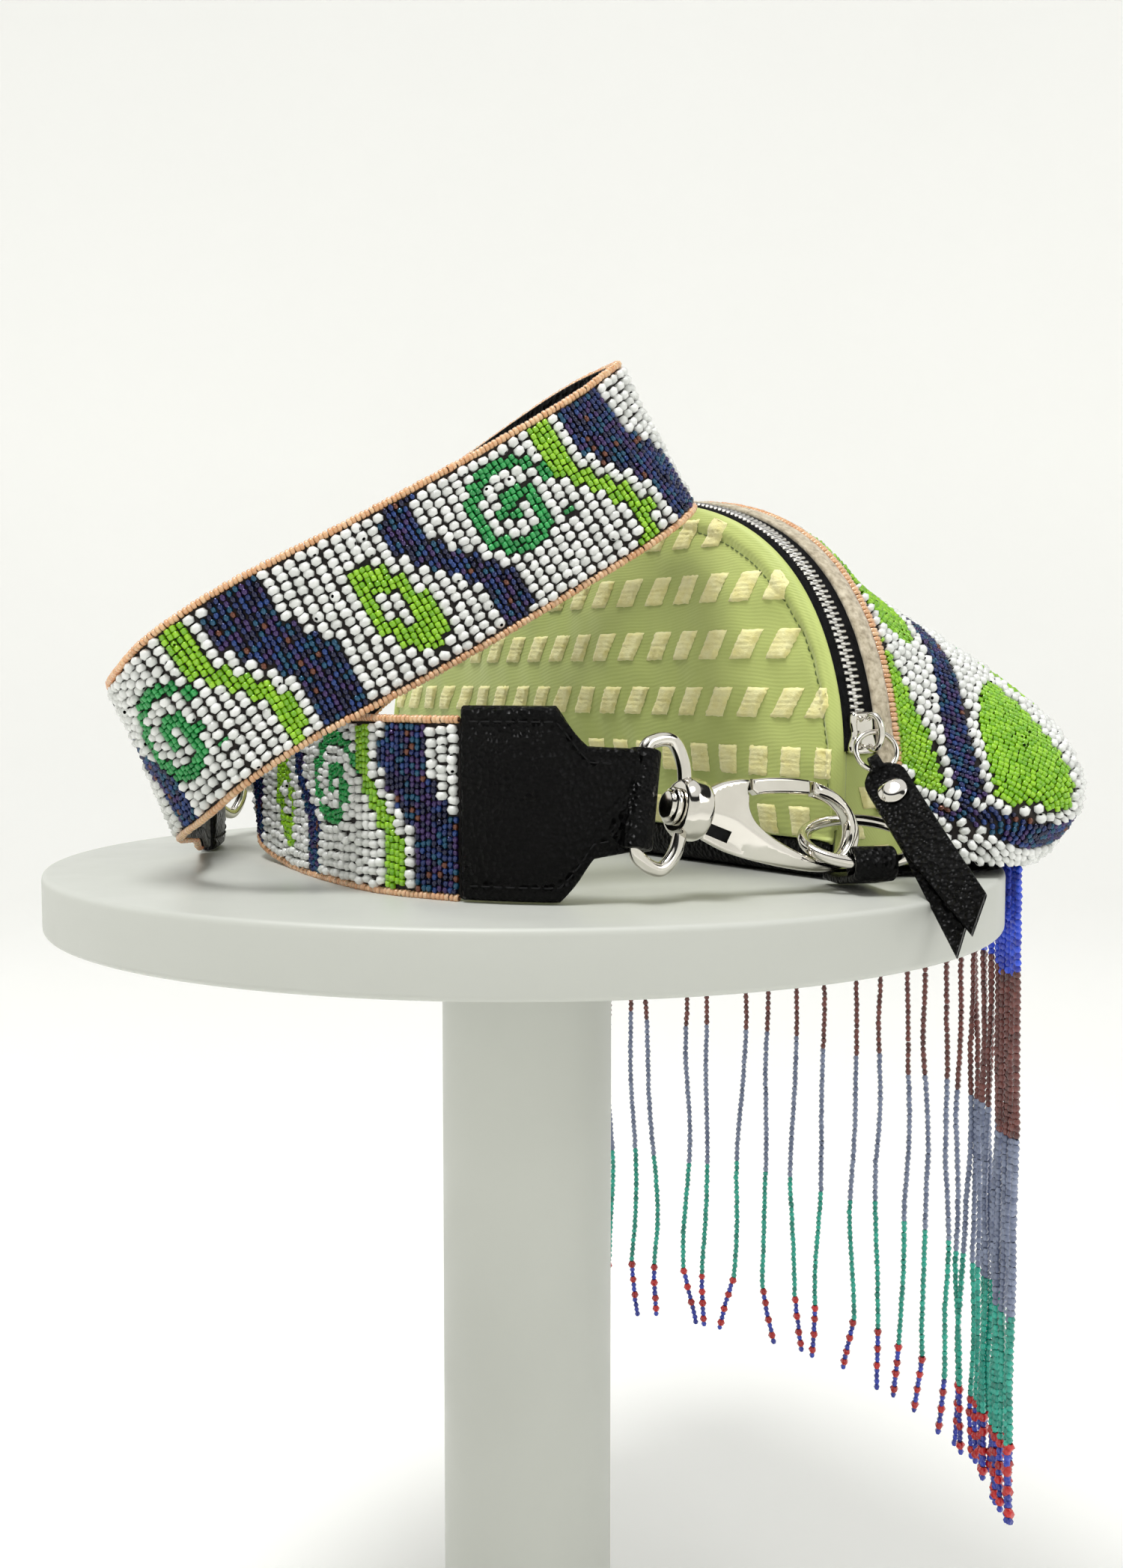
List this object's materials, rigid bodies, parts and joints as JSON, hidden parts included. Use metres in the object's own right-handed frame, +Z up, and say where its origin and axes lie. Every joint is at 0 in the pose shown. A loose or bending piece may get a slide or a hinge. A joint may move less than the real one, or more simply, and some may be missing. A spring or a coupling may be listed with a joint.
{
  "type": "beaded fringe bag on a round display stand",
  "caption": "Half-moon bag with a beaded front, arched zip and hanging bead fringe, its wide beaded strap coiled beside it on a round white pedestal stand.",
  "frame": {"origin": "centre of the stand's foot, on the floor", "axes": "+Z up; +Y away from the viewer of the picture; +X to that viewer's right"},
  "size_m": [0.331, 0.3557, 0.4765],
  "materials": {
    "stand_paint": "white satin paint",
    "green_cloth": "sage green cloth with raised cream dashes",
    "front_beads": "glossy seed beads in white, greens and navy",
    "strap_beads": "glossy seed beads in white, greens and navy",
    "peach_beads": "translucent peach seed beads",
    "fringe_beads": "glossy seed beads in bands of colour",
    "black_leather": "pebbled black leather",
    "zip_cloth": "black woven zip tape",
    "linen_cloth": "natural linen",
    "zip_metal": "bright zip teeth",
    "nickel": "polished nickel"
  },
  "bodies": {
    "bag": {"stand_top": "stand_paint", "stand_column": "stand_paint", "stand_foot": "stand_paint", "back_panel": "green_cloth", "front_panel": "front_beads", "base_panel": "black_leather", "end_gusset_near": "green_cloth", "end_gusset_far": "green_cloth", "zip_tape": "zip_cloth", "zip_teeth": "zip_metal", "linen_trim": "linen_cloth", "bead_piping": "peach_beads", "zip_slider": "nickel", "zip_pull_ring": "nickel", "zip_pull": "black_leather", "pull_rivet": "nickel", "ring_tab_near": "black_leather", "ring_tab_far": "black_leather", "ring_near": "nickel", "ring_far": "nickel", "fringe_head": "fringe_beads", "fringe": "fringe_beads", "strap_band": "strap_beads", "strap_backing": "black_leather", "strap_tab_near": "black_leather", "strap_tab_far": "black_leather", "hook_loop": "nickel", "hook_barrel": "nickel", "hook_body": "nickel", "hook_far": "nickel"},
    "gate": {"hook_gate": "nickel"}
  },
  "joints": [
    {"name": "gate_hinge", "type": "hinge", "parent": "bag", "child": "gate", "pos_m": [0.06514, -0.0927, 0.34971], "axis": [-0.4555, 0.8718, -0.1802], "range_deg": [0, 30], "stiffness_Nm_per_rad": 0.05, "springref_deg": -8.59}
  ]
}
